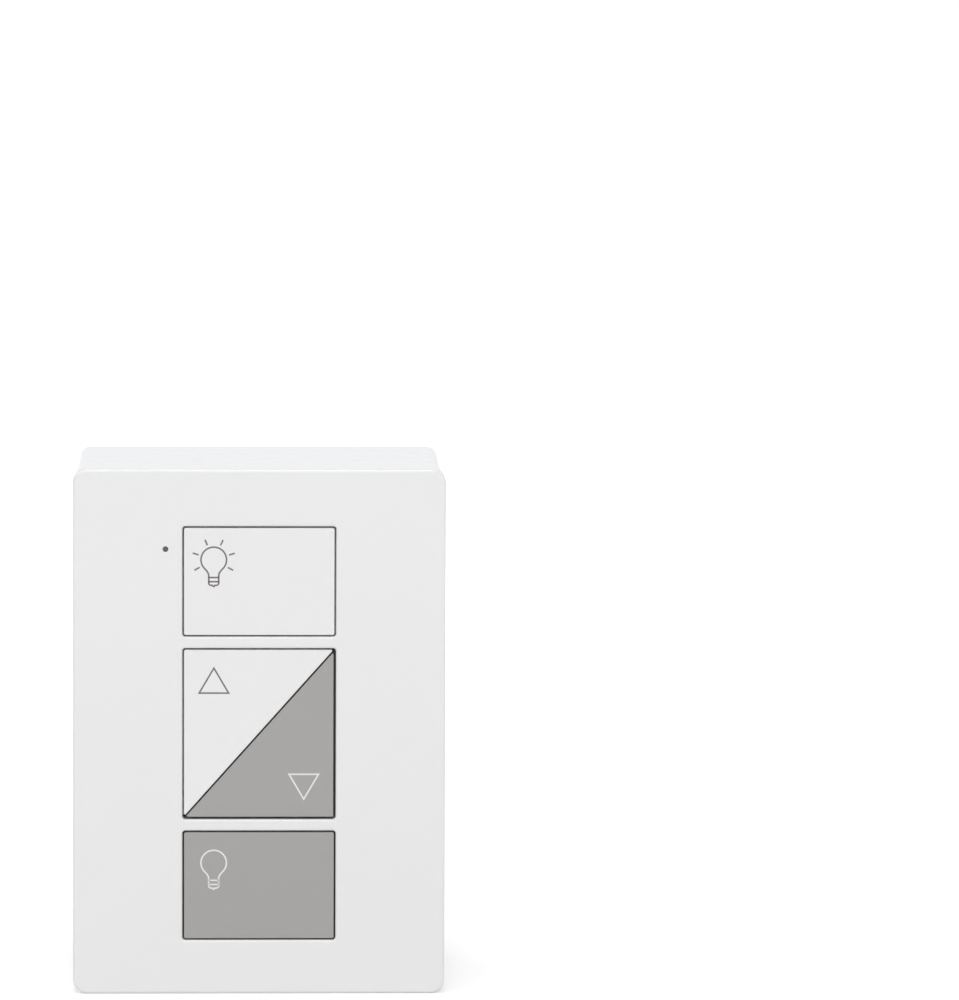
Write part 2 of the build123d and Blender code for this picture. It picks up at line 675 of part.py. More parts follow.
def make_control_board():
    """The control board, held on the front plate's four inner bosses."""
    width = cavity_width - 2 * BOARD_MARGIN
    height = cavity_height - 2 * BOARD_MARGIN
    outline = Pos(0, case_middle) * RectangleRounded(width, height, BOARD_CORNER_RADIUS)
    outline = notched(outline, PLATE_BOSS_RADIUS + NOTCH_CLEARANCE, case_boss_places)
    board = prism(outline, control_back_y, control_front_y)
    back = control_back_y + CUT_OVERRUN
    front = control_front_y - CUT_OVERRUN
    board -= rods(board_boss_places, BOARD_SCREW_RADIUS + SCREW_CLEARANCE, back, front)
    for x, z in pin_places:
        board -= block(x, z, PIN_SIZE + 2 * PIN_CLEARANCE, PIN_SIZE + 2 * PIN_CLEARANCE, back, front)
    return board


def make_antenna():
    """A stamped antenna above the guide frame: a bar on a feed leg and a ground leg."""
    z = cavity_top - BOARD_MARGIN - ANTENNA_INSET
    top_y = control_front_y - ANTENNA_HEIGHT
    antenna = block(0, z, ANTENNA_WIDTH, ANTENNA_STRIP, top_y + ANTENNA_BAND, top_y)
    end_x = (ANTENNA_WIDTH - ANTENNA_BAND) / 2
    for x in (-end_x, ANTENNA_FEED - end_x):
        antenna += block(x, z, ANTENNA_BAND, ANTENNA_STRIP, control_front_y, top_y)
    return antenna


def make_header():
    """The pin strip on the control board, its pins, and the socket strip on the power board."""
    pin_front_y = control_front_y - PIN_TAIL
    pin_back_y = power_front_y - SOCKET_HEIGHT + SOCKET_BORE_DEPTH - PIN_CLEARANCE
    strip_back_y = control_back_y + HEADER_HEIGHT
    socket_front_y = power_front_y - SOCKET_HEIGHT
    strip = block(0, header_z, header_length, HEADER_THICKNESS, strip_back_y, control_back_y)
    socket = block(0, header_z, header_length, HEADER_THICKNESS, power_front_y, socket_front_y)
    bore_back_y = socket_front_y + SOCKET_BORE_DEPTH
    bore_size = PIN_SIZE + 2 * PIN_CLEARANCE
    pins = []
    for x, z in pin_places:
        strip -= block(
            x, z, bore_size, bore_size, strip_back_y + CUT_OVERRUN, control_back_y - CUT_OVERRUN
        )
        socket -= block(x, z, bore_size, bore_size, bore_back_y, socket_front_y - CUT_OVERRUN)
        pins.append(block(x, z, PIN_SIZE, PIN_SIZE, pin_back_y, pin_front_y))
    return strip, group(pins), socket


def make_power_board():
    """The power board, on four standoffs behind the components, with slots for the blades' tails."""
    width = 2 * power_side
    height = 2 * power_half_height
    outline = Pos(0, power_middle) * RectangleRounded(width, height, BOARD_CORNER_RADIUS)
    top_bosses = [(x, z) for x, z in case_boss_places if z > case_middle]
    outline = notched(outline, CASE_BOSS_RADIUS + NOTCH_CLEARANCE, top_bosses)
    board = prism(outline, power_back_y, power_front_y)
    back = power_back_y + CUT_OVERRUN
    front = power_front_y - CUT_OVERRUN
    board -= rods(standoff_places, BOARD_SCREW_RADIUS + SCREW_CLEARANCE, back, front)
    for x, width in blade_places:
        opening = (BLADE_THICKNESS + 2 * BLADE_CLEARANCE, BLADE_TAIL_WIDTH + 2 * BLADE_CLEARANCE)
        board -= block(x, 0, *opening, back, front)
    return board


def suited(*sizes):
    """Sizes of a power component's footprint, suited to the area of the board that carries it."""
    return [size * component_scale for size in sizes]


def on_power_board(shares, size):
    """A block that stands on the power board: width, height along Z, and height off the board."""
    x, z = board_place(shares)
    width, height = suited(*size[:2])
    return block(x, z, width, height, power_front_y, power_front_y - size[2])


def make_choke():
    """A drum-shaped choke core and the winding round its waist."""
    x, z = board_place(CHOKE_PLACE_SHARES)
    radius, core_radius, winding_radius = suited(CHOKE_RADIUS, CHOKE_CORE_RADIUS, CHOKE_WINDING_RADIUS)
    top_y = power_front_y - CHOKE_HEIGHT
    winding_back = power_front_y - CHOKE_FLANGE
    winding_front = top_y + CHOKE_FLANGE
    core = rod(x, z, radius, power_front_y, winding_back)
    core += rod(x, z, radius, winding_front, top_y)
    core += rod(x, z, core_radius, power_front_y, top_y)
    winding = rod(x, z, winding_radius, winding_back, winding_front)
    winding -= rod(x, z, core_radius, winding_back + CUT_OVERRUN, winding_front - CUT_OVERRUN)
    return core, winding


def make_smoothing_capacitor():
    """A round capacitor standing on the power board, with a rounded top."""
    x, z = board_place(SMOOTHING_CAPACITOR_PLACE_SHARES)
    radius = suited(SMOOTHING_CAPACITOR_RADIUS)[0]
    can = rod(x, z, radius, power_front_y, power_front_y - SMOOTHING_CAPACITOR_HEIGHT)
    return fillet(front_edges(can), radius / 8)


def make_varistor():
    """A disc standing on edge on two legs."""
    x, z = board_place(VARISTOR_PLACE_SHARES)
    radius, thickness = suited(VARISTOR_RADIUS, VARISTOR_THICKNESS)
    middle_y = power_front_y - LEG_LENGTH - radius
    disc = Pos(x, middle_y, z) * Cylinder(radius, thickness)
    for side in (-1, 1):
        disc += rod(x + side * radius / 2, z, LEG_RADIUS, power_front_y, middle_y)
    return disc


def make_triac():
    """The triac, standing on three legs with its back against the heat sink plate."""
    x, z = board_place(TRIAC_PLACE_SHARES)
    width, height = suited(*TRIAC_SIZE[:2])
    pitch, sink_thickness, sink_length = suited(TRIAC_LEG_PITCH, HEAT_SINK_THICKNESS, HEAT_SINK_LENGTH)
    foot_y = power_front_y - LEG_LENGTH
    triac = block(x, z, width, height, foot_y, foot_y - TRIAC_SIZE[2])
    for step in (-1, 0, 1):
        triac += rod(x, z + step * pitch, LEG_RADIUS, power_front_y, foot_y)
    sink_x = x + (width + sink_thickness) / 2
    sink = block(sink_x, z, sink_thickness, sink_length, power_front_y, power_front_y - HEAT_SINK_HEIGHT)
    return triac, sink


def make_barrier():
    """The insulating sheet that lies on the film capacitor, between the two boards."""
    x, z = board_place(BARRIER_PLACE_SHARES)
    width = BARRIER_SIZE_SHARES[0] * power_side
    height = BARRIER_SIZE_SHARES[1] * power_half_height
    sheet_back_y = power_front_y - FILM_CAPACITOR_SIZE[2]
    return block(x, z, width, height, sheet_back_y, sheet_back_y - BARRIER_THICKNESS)


def make_outlet(side):
    """One side socket's insulating block, with two channels that are open in front, and its cover."""
    middle_x = side * (outlet_inner_x + cavity_side) / 2
    length = cavity_side - outlet_inner_x
    height = 2 * outlet_half_height
    body = block(middle_x, outlet_middle, length, height, rear_wall_y, outlet_front_y)
    channel_end_x = cavity_side - OUTLET_WALL
    channel_x = side * (outlet_root_x + channel_end_x) / 2
    channel_length = channel_end_x - outlet_root_x
    for z, slot_width, strip_width in (
        (neutral_slot_z, neutral_slot_width, NEUTRAL_BLADE_WIDTH),
        (line_slot_z, line_slot_width, LINE_BLADE_WIDTH),
    ):
        front = outlet_front_y - CUT_OVERRUN
        body -= block(channel_x, z, channel_length, OUTLET_CHANNEL_HEIGHT, outlet_floor_y, front)
        wall_x = side * cavity_side
        slot_back_y = slot_y + slot_width / 2
        body -= block(
            wall_x, z, 2 * (OUTLET_WALL + CUT_OVERRUN), slot_height, slot_back_y, slot_back_y - slot_width
        )
        bar_slot_height = STRIP_THICKNESS + 2 * STRIP_CLEARANCE
        bar_back_y = slot_y + strip_width / 2 + STRIP_CLEARANCE
        bar_slot = block(
            side * outlet_inner_x, z, 2 * (OUTLET_END_WALL + CUT_OVERRUN), bar_slot_height, bar_back_y, front
        )
        body -= bar_slot
    cover = block(
        middle_x, outlet_middle, length, height, outlet_front_y, outlet_front_y - OUTLET_COVER
    )
    return body, cover


def leaf_outline(z, side, lean):
    """One spring leaf seen from the front: it bows out, closes on the blade and flares at its tip."""
    tip_x = cavity_side - OUTLET_WALL - LEAF_END_GAP
    pinch_x = tip_x - LEAF_TIP
    root_x = outlet_root_x + STRIP_FORK / 2
    grip = (BLADE_THICKNESS + LEAF_THICKNESS) / 2 + LEAF_CLEARANCE
    bow_x = root_x + LEAF_BOW_SHARE * (pinch_x - root_x)
    path = Polyline(
        (side * root_x, z),
        (side * bow_x, z + lean * LEAF_BOW),
        (side * pinch_x, z + lean * grip),
        (side * tip_x, z + lean * LEAF_FLARE),
    )
    return trace(path, LEAF_THICKNESS)


def make_contact_strip(z, width):
    """A brass strip from one side socket to the other, with a pair of leaves at each end."""
    outline = Pos(0, z) * Rectangle(2 * (outlet_root_x + STRIP_FORK), STRIP_THICKNESS)
    for side in (-1, 1):
        for lean in (-1, 1):
            outline += leaf_outline(z, side, lean)
    return prism(outline, slot_y + width / 2, slot_y - width / 2)


def make_lead(x, start_y, start_z, turn_z):
    """An insulated lead from a contact strip up to the power board, with one round bend."""
    path = FilletPolyline(
        (x, start_y, start_z), (x, start_y, turn_z), (x, power_front_y, turn_z), radius=LEAD_BEND_RADIUS
    )
    return sweep(Plane(origin=path @ 0, z_dir=path % 0) * Circle(LEAD_RADIUS), path=path)


# Build every piece
nodes = {
    "front_plate": make_front_plate(),
    "rear_housing": make_rear_housing(),
    "case_screws": make_case_screws(),
    "button_guide_frame": make_guide_frame(),
    "spacer_sleeves": make_sleeves(),
    "status_light_pipe": make_light_pipe(),
    "status_led": block(
        light_x, light_z, LED_SIZE, LED_SIZE / 2, control_front_y, control_front_y - LED_HEIGHT
    ),
    "control_board": make_control_board(),
    "control_board_screws": make_board_screws(
        board_boss_places, control_back_y, control_front_y - BOARD_SCREW_BITE + THREAD_CLEARANCE, 0
    ),
    "radio_antenna": make_antenna(),
    "power_board": make_power_board(),
    "power_board_screws": make_board_screws(
        standoff_places, power_front_y, power_back_y + BOARD_SCREW_BITE, front_y
    ),
    "insulation_barrier": make_barrier(),
    "neutral_blade": make_blade(*blade_places[0]),
    "line_blade": make_blade(*blade_places[1]),
    "blade_carrier": make_blade_carrier(),
}

for name, (z, height, side, gap, place) in buttons.items():
    nodes[f"{name}_button"] = make_button(z, height, side, gap, place)
    body, cover, plunger, dome = make_switch(place)
    nodes[f"{name}_switch_body"] = body
    nodes[f"{name}_switch_cover"] = cover
    nodes[f"{name}_switch_plunger"] = plunger
    nodes[f"{name}_switch_dome"] = dome

radio_x, radio_z = control_place(RADIO_PLACE_SHARES)
nodes["radio_module"] = block(
    radio_x, radio_z, RADIO_WIDTH, RADIO_HEIGHT, control_back_y + RADIO_THICKNESS, control_back_y
)
chip_x, chip_z = control_place(CHIP_PLACE_SHARES)
nodes["controller_chip"] = block(
    chip_x, chip_z, CHIP_SIZE, CHIP_SIZE, control_back_y + CHIP_THICKNESS, control_back_y
)
nodes["header_strip"], nodes["header_pins"], nodes["header_socket"] = make_header()

film = on_power_board(FILM_CAPACITOR_PLACE_SHARES, FILM_CAPACITOR_SIZE)
nodes["film_capacitor"] = fillet(film.edges().filter_by(Axis.Y), FILM_CAPACITOR_RADIUS)
nodes["smoothing_capacitor"] = make_smoothing_capacitor()
nodes["choke_core"], nodes["choke_winding"] = make_choke()
nodes["fuse"] = on_power_board(FUSE_PLACE_SHARES, FUSE_SIZE)
nodes["varistor"] = make_varistor()
nodes["triac"], nodes["heat_sink_plate"] = make_triac()

for name, side in (("left", -1), ("right", 1)):
    nodes[f"{name}_outlet_block"], nodes[f"{name}_outlet_cover"] = make_outlet(side)

# The leads rise between the two sockets' blocks, and the switched one turns above the neutral one
bar_top = STRIP_THICKNESS / 2
lead_x = LEAD_PLACE_SHARE * (outlet_inner_x - LEAD_RADIUS)
lead_turn_z = power_bottom + LEAD_ABOVE_BOARD_EDGE
upper_turn_z = lead_turn_z + 2 * LEAD_RADIUS + LEAD_GAP
nodes["neutral_contact_strip"] = make_contact_strip(neutral_slot_z, NEUTRAL_BLADE_WIDTH)
nodes["neutral_lead"] = make_lead(-lead_x, slot_y, neutral_slot_z + bar_top, lead_turn_z)
lead_y = slot_y - NEUTRAL_BLADE_WIDTH / 2 - TAB_CLEARANCE - LEAD_RADIUS
tab_width = 2 * TAB_REACH_SHARE * (outlet_inner_x - lead_x)
nodes["switched_contact_strip"] = make_contact_strip(line_slot_z, LINE_BLADE_WIDTH) + block(
    lead_x, line_slot_z, tab_width, STRIP_THICKNESS, slot_y, lead_y - LEAD_RADIUS
)
nodes["switched_lead"] = make_lead(lead_x, lead_y, line_slot_z + bar_top, upper_turn_z)

for name, shape in nodes.items():
    export_step(shape, f"parts/{name}.step")
print(len(nodes), "nodes written")
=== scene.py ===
"""A plug-in lamp dimmer, dressed for the studio around its packed construction model.

The construction model gives every piece its size and place, in metres: X to the right, Y to the back and
Z up, with the origin on the rear face, midway between the plug blades.
"""

import json
import logging
import math
from dataclasses import dataclass, field
from enum import Enum
from typing import Mapping, Optional, Sequence

import bpy
import numpy as np
from mathutils import Matrix, Vector

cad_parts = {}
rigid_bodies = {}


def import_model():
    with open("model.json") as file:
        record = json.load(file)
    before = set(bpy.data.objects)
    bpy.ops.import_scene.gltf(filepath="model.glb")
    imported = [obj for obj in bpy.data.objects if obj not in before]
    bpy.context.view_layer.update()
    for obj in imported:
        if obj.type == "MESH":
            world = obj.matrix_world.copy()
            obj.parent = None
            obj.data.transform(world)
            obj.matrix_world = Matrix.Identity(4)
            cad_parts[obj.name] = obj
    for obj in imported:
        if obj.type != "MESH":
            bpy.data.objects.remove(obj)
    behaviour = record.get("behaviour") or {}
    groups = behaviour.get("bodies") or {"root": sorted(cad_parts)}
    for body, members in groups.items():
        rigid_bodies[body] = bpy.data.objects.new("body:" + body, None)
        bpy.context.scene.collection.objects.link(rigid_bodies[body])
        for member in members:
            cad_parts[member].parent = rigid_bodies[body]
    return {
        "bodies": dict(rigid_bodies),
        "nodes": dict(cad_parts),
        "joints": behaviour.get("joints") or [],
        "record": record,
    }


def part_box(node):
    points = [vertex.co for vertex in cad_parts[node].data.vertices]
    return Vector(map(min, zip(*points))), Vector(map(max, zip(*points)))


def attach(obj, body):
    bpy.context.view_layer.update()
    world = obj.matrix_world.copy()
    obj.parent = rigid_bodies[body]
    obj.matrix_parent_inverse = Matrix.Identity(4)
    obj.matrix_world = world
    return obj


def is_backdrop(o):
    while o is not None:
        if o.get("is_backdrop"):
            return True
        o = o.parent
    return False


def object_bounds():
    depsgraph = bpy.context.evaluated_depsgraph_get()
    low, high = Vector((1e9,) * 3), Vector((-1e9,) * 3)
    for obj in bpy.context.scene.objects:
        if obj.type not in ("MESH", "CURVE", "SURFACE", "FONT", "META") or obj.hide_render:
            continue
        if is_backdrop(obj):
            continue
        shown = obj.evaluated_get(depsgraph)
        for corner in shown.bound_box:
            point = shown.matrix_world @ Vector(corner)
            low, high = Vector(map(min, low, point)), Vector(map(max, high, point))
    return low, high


MM = 0.001
# Millimetres behind the front face between which the buttons' flanks grow dark: painted shade, which stands
# in for the shade deep in the gaps round the caps
PAINTED_SHADE_START = 0.8
PAINTED_SHADE_END = 1.4
LOG = logging.getLogger("dimmer")

Colour = tuple[float, float, float]


def srgb(red: int, green: int, blue: int) -> Colour:
    """Turn a colour in screen values from 0 to 255 into the linear values that shaders read.

    Args:
        red: Red, from 0 to 255.
        green: Green, from 0 to 255.
        blue: Blue, from 0 to 255.

    Returns:
        The three linear values, from 0 to 1.
    """
    screen = np.array([red, green, blue]) / 255
    linear = np.where(screen <= 0.04045, screen / 12.92, ((screen + 0.055) / 1.055) ** 2.4)
    return tuple(float(value) for value in linear)


class Wear(Enum):
    """How much use a finish shows."""

    NEW = 0.0
    HANDLED = 1.0


# Shader helpers


class Nodes:
    """A small wrapper that adds nodes to one node tree and links them."""

    def __init__(self, tree: bpy.types.NodeTree) -> None:
        """Keep the tree that the nodes go into."""
        self.tree = tree

    def add(self, kind: str, values: Optional[dict] = None, **settings: object) -> bpy.types.Node:
        """Add a node.

        Args:
            kind: The node's type name.
            values: Numbers or sockets for its inputs, by name or number.
            settings: Properties set on the node itself.

        Returns:
            The new node.
        """
        node = self.tree.nodes.new(kind)
        for name, value in settings.items():
            setattr(node, name, value)
        for name, value in (values or {}).items():
            self.feed(node.inputs[name], value)
        return node

    def feed(self, socket: bpy.types.NodeSocket, value: object) -> None:
        """Set a socket to a value, or link it to another node's output.

        Args:
            socket: The input socket.
            value: A number, a colour or another node's output.
        """
        if isinstance(value, bpy.types.NodeSocket):
            self.tree.links.new(value, socket)
        else:
            socket.default_value = value

    def maths(self, operation: str, first: object, second: object = 0.0) -> bpy.types.NodeSocket:
        """Add a Math node and return its output."""
        return self.add("ShaderNodeMath", {0: first, 1: second}, operation=operation).outputs[0]

    def spread(
        self, value: object, low: float, high: float, to_low: float = 0.0, to_high: float = 1.0
    ) -> bpy.types.NodeSocket:
        """Map a range of values onto another one, clamped.

        Args:
            value: The value to map.
            low: Where the range starts.
            high: Where the range ends.
            to_low: What its start becomes.
            to_high: What its end becomes.

        Returns:
            The mapped value.
        """
        node = self.add(
            "ShaderNodeMapRange",
            {"Value": value, "From Min": low, "From Max": high, "To Min": to_low, "To Max": to_high},
        )
        return node.outputs["Result"]

    def noise(
        self, vector: object, scale: float, detail: float = 2.0, rough: float = 0.5
    ) -> bpy.types.NodeSocket:
        """Add a noise texture.

        Args:
            vector: Where the noise is read.
            scale: How many waves stand in a metre.
            detail: How many finer layers are added.
            rough: How strong each finer layer is.

        Returns:
            Its factor.
        """
        values = {"Vector": vector, "Scale": scale, "Detail": detail, "Roughness": rough}
        return self.add("ShaderNodeTexNoise", values).outputs["Fac"]

    def blend(
        self, factor: object, first: object, second: object, mode: str = "MIX"
    ) -> bpy.types.NodeSocket:
        """Blend two colours.

        Args:
            factor: The second colour's share.
            first: The first colour.
            second: The second colour.
            mode: How the second colour is laid over the first.

        Returns:
            The blended colour.
        """
        node = self.tree.nodes.new("ShaderNodeMix")
        node.data_type = "RGBA"
        node.blend_type = mode
        # The Mix node has its sockets once for each kind of data; these are the places of the colour ones
        self.feed(node.inputs[0], factor)
        self.feed(node.inputs[6], first)
        self.feed(node.inputs[7], second)
        return node.outputs[2]

    def bump(self, shader: bpy.types.Node, height: object, strength: float, distance: float) -> None:
        """Bump a shader's surface.

        Args:
            shader: The Principled shader.
            height: The height.
            strength: How strongly it shows.
            distance: How far a height of 1 stands out, in metres.
        """
        values = {"Height": height, "Strength": strength, "Distance": distance}
        self.feed(shader.inputs["Normal"], self.add("ShaderNodeBump", values).outputs["Normal"])

    def background_rays(self) -> tuple[bpy.types.NodeSocket, bpy.types.NodeSocket]:
        """Tell the rays that show a background from those that only carry light.

        Returns:
            A mask for camera, mirrored and transmitted rays, and a mask for the mirrored ones alone.
        """
        rays = self.add("ShaderNodeLightPath").outputs
        seen = self.maths("MAXIMUM", rays["Is Camera Ray"], rays["Is Glossy Ray"])
        return self.maths("MAXIMUM", seen, rays["Is Transmission Ray"]), rays["Is Glossy Ray"]


def new_group(
    name: str, inputs: dict[str, float], outputs: Sequence[str]
) -> tuple[bpy.types.NodeTree, Nodes, dict]:
    """Start a shader node group with number inputs.

    Args:
        name: The group's name.
        inputs: The default of each input, by name.
        outputs: The names of its number outputs.

    Returns:
        The group, a wrapper for adding nodes, and its ends: the sockets that give its inputs, under "in",
        and those that take its outputs, under "out".
    """
    group = bpy.data.node_groups.new(name, "ShaderNodeTree")
    for socket, default in inputs.items():
        item = group.interface.new_socket(socket, in_out="INPUT", socket_type="NodeSocketFloat")
        item.default_value = default
    for socket in outputs:
        group.interface.new_socket(socket, in_out="OUTPUT", socket_type="NodeSocketFloat")
    nodes = Nodes(group)
    source = nodes.add("NodeGroupInput")
    target = nodes.add("NodeGroupOutput")
    return group, nodes, {"in": source.outputs, "out": target.inputs}


def build_moulded_group() -> bpy.types.NodeTree:
    """Build the group for moulded plastic: its fine grain, slow flow waves, drift in colour and smears.

    The height is fine noise times the grain, plus wide noise times the flow. The shade is a slow drift in
    colour, and the gloss mask says where handling has dulled the surface.

    Returns:
        The group.
    """
    inputs = {"Grain Scale": 9000.0, "Grain": 1.0, "Flow": 1.0}
    group, nodes, ends = new_group("moulded plastic", inputs, ("Height", "Shade", "Gloss"))
    place = nodes.add("ShaderNodeTexCoord").outputs["Object"]
    fine = nodes.noise(place, scale=ends["in"]["Grain Scale"], detail=3.0, rough=0.6)
    wide = nodes.noise(place, scale=110.0, detail=1.0, rough=0.4)
    drift = nodes.noise(place, scale=45.0, detail=2.0, rough=0.5)
    smear = nodes.noise(place, scale=260.0, detail=4.0, rough=0.65)
    grain = nodes.maths("MULTIPLY", fine, ends["in"]["Grain"])
    flow = nodes.maths("MULTIPLY", wide, ends["in"]["Flow"])
    nodes.feed(ends["out"]["Height"], nodes.maths("ADD", grain, flow))
    nodes.feed(ends["out"]["Shade"], nodes.spread(drift, low=0.3, high=0.7))
    nodes.feed(ends["out"]["Gloss"], nodes.spread(smear, low=0.35, high=0.75))
    return group


def build_painted_recess_shade_group(face_y: float) -> bpy.types.NodeTree:
    """Build the group for painted shade on parts that lie deep behind the front face, in the gaps round the
    caps.

    The mask is the Y coordinate mapped from 0 at the start to 1 at the end.

    Args:
        face_y: The front face's Y, in metres.

    Returns:
        The group.
    """
    inputs = {"Start": face_y + PAINTED_SHADE_START * MM, "End": face_y + PAINTED_SHADE_END * MM}
    group, nodes, ends = new_group("painted_recess_shade", inputs, ("Mask",))
    place = nodes.add("ShaderNodeTexCoord").outputs["Object"]
    depth = nodes.add("ShaderNodeSeparateXYZ", {0: place}).outputs["Y"]
    mask = nodes.add("ShaderNodeMapRange", {"Value": depth, "From Min": ends["in"]["Start"]})
    nodes.feed(mask.inputs["From Max"], ends["in"]["End"])
    nodes.feed(ends["out"]["Mask"], mask.outputs["Result"])
    return group


def build_rolled_group() -> bpy.types.NodeTree:
    """Build the group for rolled and plated metal: fine lines along one axis, tarnish and pits.

    The lines are noise squeezed across the rolling direction, the tarnish is cloudy noise, and the pits are
    the cores of small cells.

    Returns:
        The group.
    """
    inputs = {"Line Scale": 60.0, "Lines": 1.0, "Pits": 1.0}
    group, nodes, ends = new_group("rolled metal", inputs, ("Height", "Tarnish", "Streak"))
    place = nodes.add("ShaderNodeTexCoord").outputs["Object"]
    across = {"Vector": place, "Scale": (60.0, 1.0, 60.0)}
    squeezed = nodes.add("ShaderNodeMapping", across).outputs["Vector"]
    lines = nodes.noise(squeezed, scale=ends["in"]["Line Scale"], detail=4.0, rough=0.6)
    cloud = nodes.noise(place, scale=350.0, detail=4.0, rough=0.6)
    cells = nodes.add("ShaderNodeTexVoronoi", {"Vector": place, "Scale": 2500.0}).outputs["Distance"]
    cores = nodes.spread(cells, low=0.0, high=0.12, to_low=-1.0, to_high=0.0)
    pits = nodes.maths("MULTIPLY", cores, ends["in"]["Pits"])
    streaks = nodes.maths("MULTIPLY", lines, ends["in"]["Lines"])
    nodes.feed(ends["out"]["Height"], nodes.maths("ADD", streaks, pits))
    nodes.feed(ends["out"]["Tarnish"], nodes.spread(cloud, low=0.4, high=0.75))
    nodes.feed(ends["out"]["Streak"], lines)
    return group


class Workshop:
    """The shared node groups, built once, and the materials made with them."""

    def __init__(self, face_y: float) -> None:
        """Build the shared groups.

        Args:
            face_y: The front face's Y, in metres.
        """
        self.moulded = build_moulded_group()
        self.rolled = build_rolled_group()
        # The painted shade for the flanks deep in the gaps
        self.painted_recess_shade = build_painted_recess_shade_group(face_y)
        self.made: dict[str, bpy.types.Material] = {}

    def finish(self, finish: "Finish") -> bpy.types.Material:
        """Give the material of a finish, made the first time that it is asked for.

        Args:
            finish: The finish.

        Returns:
            Its material.
        """
        if finish.name not in self.made:
            self.made[finish.name] = finish.build(self)
        return self.made[finish.name]


def blank_material(name: str) -> tuple[bpy.types.Material, Nodes, bpy.types.Node]:
    """Make an empty material.

    Args:
        name: The material's name.

    Returns:
        The material, a wrapper for adding nodes, and its Principled shader.
    """
    material = bpy.data.materials.new(name)
    material.use_nodes = True
    material.node_tree.nodes.clear()
    nodes = Nodes(material.node_tree)
    shader = nodes.add("ShaderNodeBsdfPrincipled")
    output = nodes.add("ShaderNodeOutputMaterial")
    nodes.feed(output.inputs["Surface"], shader.outputs["BSDF"])
    return material, nodes, shader


@dataclass(frozen=True)
class Finish:
    """A finish with a name; each kind builds its own material."""

    name: str
    colour: Colour

    def build(self, shop: Workshop) -> bpy.types.Material:
        """Build the material; each kind has its own way."""
        raise NotImplementedError


@dataclass(frozen=True)
class Plastic(Finish):
    """A moulded plastic, from polished to sparked."""

    roughness: float = 0.3
    spread: float = 0.06
    drift: float = 0.012
    grain_scale: float = 9000.0
    grain: float = 1.0
    flow: float = 0.0
    bump: float = 0.05
    depth: float = 0.00002
    coat: float = 0.0
    coat_roughness: float = 0.1
    specular: float = 0.5
    # Painted shade: the colour's factor deep behind the front face, which darkens the flanks in the gaps
    painted_recess_shade: float = 1.0
    wear: Wear = Wear.NEW

    def build(self, shop: Workshop) -> bpy.types.Material:
        """Build the plastic: a slow drift in colour, gloss that varies a little, and grain in the bump.

        Where the recess factor is under 1, the colour is multiplied by it deep behind the front face, as
        painted shade in the gaps.

        Args:
            shop: The shared groups.

        Returns:
            The material.
        """
        material, nodes, shader = blank_material(self.name)
        group = nodes.add("ShaderNodeGroup", None, node_tree=shop.moulded)
        nodes.feed(group.inputs["Grain Scale"], self.grain_scale)
        nodes.feed(group.inputs["Grain"], self.grain)
        nodes.feed(group.inputs["Flow"], self.flow)
        darker = tuple(channel * (1 - self.drift) for channel in self.colour)
        lighter = tuple(min(1.0, channel * (1 + self.drift)) for channel in self.colour)
        shade = nodes.blend(group.outputs["Shade"], (*darker, 1.0), (*lighter, 1.0))
        # Painted shade: darken the colour deep behind the front face, where the gaps lie in shade
        if self.painted_recess_shade < 1:
            painted_shade_mask = nodes.add("ShaderNodeGroup", None, node_tree=shop.painted_recess_shade).outputs["Mask"]
            shade = nodes.blend(painted_shade_mask, shade, (self.painted_recess_shade, self.painted_recess_shade, self.painted_recess_shade, 1.0), "MULTIPLY")
        nodes.feed(shader.inputs["Base Color"], shade)
        most = self.roughness + self.spread * (1 + self.wear.value)
        rough = nodes.spread(group.outputs["Gloss"], 0.0, 1.0, to_low=self.roughness, to_high=most)
        nodes.feed(shader.inputs["Roughness"], rough)
        shader.inputs["Coat Weight"].default_value = self.coat
        shader.inputs["Coat Roughness"].default_value = self.coat_roughness
        shader.inputs["Specular IOR Level"].default_value = self.specular
        nodes.bump(shader, group.outputs["Height"], self.bump, self.depth)
        return material


@dataclass(frozen=True)
class Metal(Finish):
    """A rolled, stamped or plated metal."""

    tarnished: Colour = (0.3, 0.3, 0.3)
    roughness: float = 0.25
    spread: float = 0.2
    tarnish: float = 0.25
    bump: float = 0.15
    depth: float = 0.00002
    lines: float = 1.0
    pits: float = 0.3
    streak_share: float = 0.5
    dull_from: float = 0.1
    dull_to: float = 0.6

    def build(self, shop: Workshop) -> bpy.types.Material:
        """Build the metal: rolling lines, cloudy tarnish in colour and gloss, and small pits.

        Args:
            shop: The shared groups.

        Returns:
            The material.
        """
        material, nodes, shader = blank_material(self.name)
        group = nodes.add("ShaderNodeGroup", None, node_tree=shop.rolled)
        nodes.feed(group.inputs["Lines"], self.lines)
        nodes.feed(group.inputs["Pits"], self.pits)
        cover = nodes.maths("MULTIPLY", group.outputs["Tarnish"], self.tarnish)
        colour = nodes.blend(cover, (*self.colour, 1.0), (*self.tarnished, 1.0))
        nodes.feed(shader.inputs["Base Color"], colour)
        shader.inputs["Metallic"].default_value = 1.0
        streaks = nodes.maths("MULTIPLY", group.outputs["Streak"], self.streak_share)
        mixed = nodes.maths("ADD", streaks, cover)
        most = self.roughness + self.spread
        rough = nodes.spread(mixed, self.dull_from, self.dull_to, to_low=self.roughness, to_high=most)
        nodes.feed(shader.inputs["Roughness"], rough)
        nodes.bump(shader, group.outputs["Height"], self.bump, self.depth)
        return material


